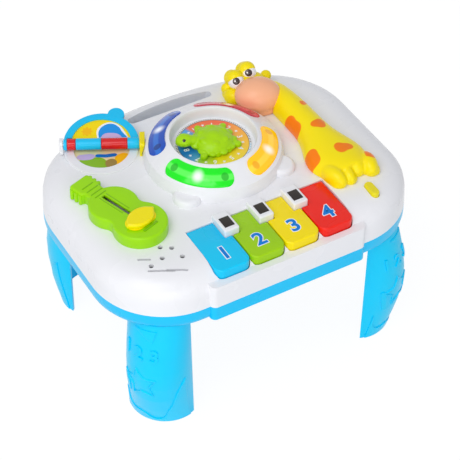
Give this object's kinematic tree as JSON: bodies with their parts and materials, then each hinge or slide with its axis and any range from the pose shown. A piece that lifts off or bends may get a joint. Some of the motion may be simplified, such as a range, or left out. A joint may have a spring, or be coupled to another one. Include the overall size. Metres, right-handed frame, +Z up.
{
  "type": "musical activity table",
  "caption": "Small toddler play table on plug-in legs with piano keys, a turning dial knob, light windows, a flip page, a slider and a carry handle.",
  "frame": {"origin": "middle of the table on the floor, under the feet", "axes": "+X along the keyboard to the right, +Y to the back where the carry handle is, +Z up"},
  "size_m": [0.262, 0.209, 0.1701],
  "materials": {
    "white_shell": "moulded, glossy",
    "blue_shell": "moulded, glossy",
    "key_cyan": "moulded, glossy",
    "key_green": "moulded, glossy",
    "key_yellow": "moulded, glossy",
    "key_red": "moulded, glossy",
    "black_insert": "moulded, satin",
    "window_red": "moulded, glossy",
    "window_blue": "moulded, glossy",
    "window_green": "moulded, glossy",
    "window_yellow": "moulded, glossy",
    "led_clear": "clear epoxy",
    "board_green": "moulded, satin",
    "rubber_dome": "moulded silicone",
    "steel": "bright steel",
    "dial_print": "moulded, glossy",
    "leaf_green": "moulded, glossy",
    "page_print": "moulded, glossy",
    "page_cyan": "moulded, glossy",
    "bead_red": "moulded, glossy",
    "yellow_trim": "moulded, glossy",
    "giraffe_yellow": "moulded, satin",
    "giraffe_peach": "moulded, satin",
    "eye_white": "moulded, glossy",
    "eye_dark": "moulded, glossy",
    "speaker_black": "moulded, satin",
    "cell_wrap": "moulded, glossy"
  },
  "bodies": {
    "table": {"top_shell": "white_shell", "bottom_shell": "blue_shell", "leg_front_left": "blue_shell", "leg_front_right": "blue_shell", "leg_back_left": "blue_shell", "leg_back_right": "blue_shell", "battery_door": "blue_shell", "black_key_inserts": "black_insert", "light_window_red": "window_red", "led_red": "led_clear", "light_window_blue": "window_blue", "led_blue": "led_clear", "light_window_green": "window_green", "led_green": "led_clear", "light_window_yellow": "window_yellow", "led_yellow": "led_clear", "key_circuit_board": "board_green", "light_board": "board_green", "main_board": "board_green", "button_board": "board_green", "key_dome_1": "rubber_dome", "key_dome_2": "rubber_dome", "key_dome_3": "rubber_dome", "key_dome_4": "rubber_dome", "button_dome": "rubber_dome", "key_hinge_rod": "steel", "page_spindle": "steel", "light_board_screws": "steel", "shell_screws": "steel", "battery_contacts": "steel", "dial_disc": "dial_print", "guitar_body": "leaf_green", "window_print": "page_print", "page_bracket": "yellow_trim", "giraffe_body": "giraffe_yellow", "giraffe_muzzle": "giraffe_peach", "giraffe_eyes": "eye_white", "giraffe_pupils": "eye_dark", "speaker": "speaker_black", "speaker_cone": "speaker_black", "sound_chip": "speaker_black", "cell_1": "cell_wrap", "cell_2": "cell_wrap", "cell_3": "cell_wrap"},
    "key_1": {"key_1": "key_cyan"},
    "key_2": {"key_2": "key_green"},
    "key_3": {"key_3": "key_yellow"},
    "key_4": {"key_4": "key_red"},
    "mode_button": {"mode_button": "yellow_trim"},
    "turtle": {"turtle_knob": "leaf_green", "knob_washer": "steel", "knob_screw": "steel"},
    "page": {"page_frame": "page_cyan", "page_card": "page_print"},
    "bead_small": {"bead_small": "bead_red"},
    "bead_middle": {"bead_middle": "page_cyan"},
    "bead_large": {"bead_large": "bead_red"},
    "slider": {"guitar_slider": "yellow_trim", "slider_retainer": "white_shell"}
  },
  "joints": [
    {"name": "key_1_press", "type": "hinge", "parent": "table", "child": "key_1", "pos_m": [-0.0441, -0.0465, 0.1388], "axis": [1, 0, 0], "range_deg": [0, 4], "stiffness_Nm_per_rad": 0.3, "springref_deg": -1.72, "deforming": ["key_dome_1"]},
    {"name": "key_2_press", "type": "hinge", "parent": "table", "child": "key_2", "pos_m": [-0.0147, -0.0465, 0.1388], "axis": [1, 0, 0], "range_deg": [0, 4], "stiffness_Nm_per_rad": 0.3, "springref_deg": -1.72, "deforming": ["key_dome_2"]},
    {"name": "key_3_press", "type": "hinge", "parent": "table", "child": "key_3", "pos_m": [0.0147, -0.0465, 0.1388], "axis": [1, 0, 0], "range_deg": [0, 4], "stiffness_Nm_per_rad": 0.3, "springref_deg": -1.72, "deforming": ["key_dome_3"]},
    {"name": "key_4_press", "type": "hinge", "parent": "table", "child": "key_4", "pos_m": [0.0441, -0.0465, 0.1388], "axis": [1, 0, 0], "range_deg": [0, 4], "stiffness_Nm_per_rad": 0.3, "springref_deg": -1.72, "deforming": ["key_dome_4"]},
    {"name": "mode_button_press", "type": "slide", "parent": "table", "child": "mode_button", "axis": [0, 0, -1], "range_m": [0, 0.0016], "stiffness_N_per_m": 120, "springref_m": -0.001, "deforming": ["button_dome"]},
    {"name": "turtle_turn", "type": "hinge", "parent": "table", "child": "turtle", "pos_m": [0.001, 0.0129, 0.16], "axis": [0, 0, 1], "continuous": true},
    {"name": "page_flip", "type": "hinge", "parent": "table", "child": "page", "pos_m": [-0.0705, 0.0605, 0.1531], "axis": [0.887, -0.4617, 0], "range_deg": [0, 158]},
    {"name": "bead_small_spin", "type": "hinge", "parent": "table", "child": "bead_small", "pos_m": [-0.0705, 0.0605, 0.1531], "axis": [0.887, -0.4617, 0], "continuous": true},
    {"name": "bead_middle_spin", "type": "hinge", "parent": "table", "child": "bead_middle", "pos_m": [-0.0705, 0.0605, 0.1531], "axis": [0.887, -0.4617, 0], "continuous": true},
    {"name": "bead_large_spin", "type": "hinge", "parent": "table", "child": "bead_large", "pos_m": [-0.0705, 0.0605, 0.1531], "axis": [0.887, -0.4617, 0], "continuous": true},
    {"name": "slider_slide", "type": "slide", "parent": "table", "child": "slider", "axis": [-0.3156, 0.9489, 0], "range_m": [0, 0.028]}
  ]
}
